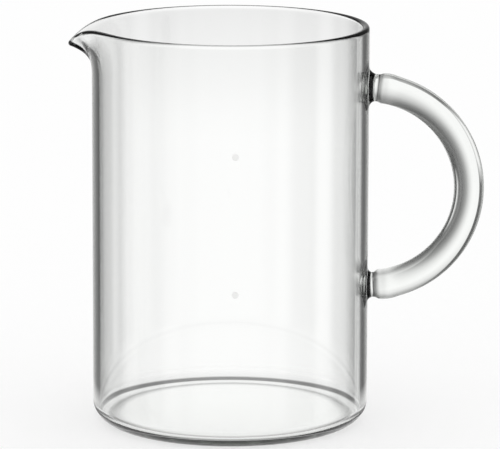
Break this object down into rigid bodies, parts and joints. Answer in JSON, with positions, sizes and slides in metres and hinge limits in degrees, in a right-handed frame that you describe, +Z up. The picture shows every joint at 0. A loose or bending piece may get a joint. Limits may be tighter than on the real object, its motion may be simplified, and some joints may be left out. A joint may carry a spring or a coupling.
{
  "type": "coffee server jug",
  "caption": "Straight clear-glass coffee server with a pulled pouring lip, a bent solid-rod loop handle fused to the wall, and enamel fill dots.",
  "frame": {"origin": "middle of the foot ring that the jug stands on, on the axis of the round wall", "axes": "+Z up along the axis of the wall and out of the mouth, +X towards the handle, -X towards the pouring lip"},
  "size_m": [0.1427, 0.095, 0.138],
  "materials": {
    "borosilicate_glass": "clear, blown and flame polished",
    "grey_enamel": "satin, screen printed and fired"
  },
  "bodies": {
    "root": {"vessel": "borosilicate_glass", "handle": "borosilicate_glass", "upper_weld": "borosilicate_glass", "lower_weld": "borosilicate_glass", "upper_fill_mark": "grey_enamel", "lower_fill_mark": "grey_enamel"}
  },
  "joints": []
}
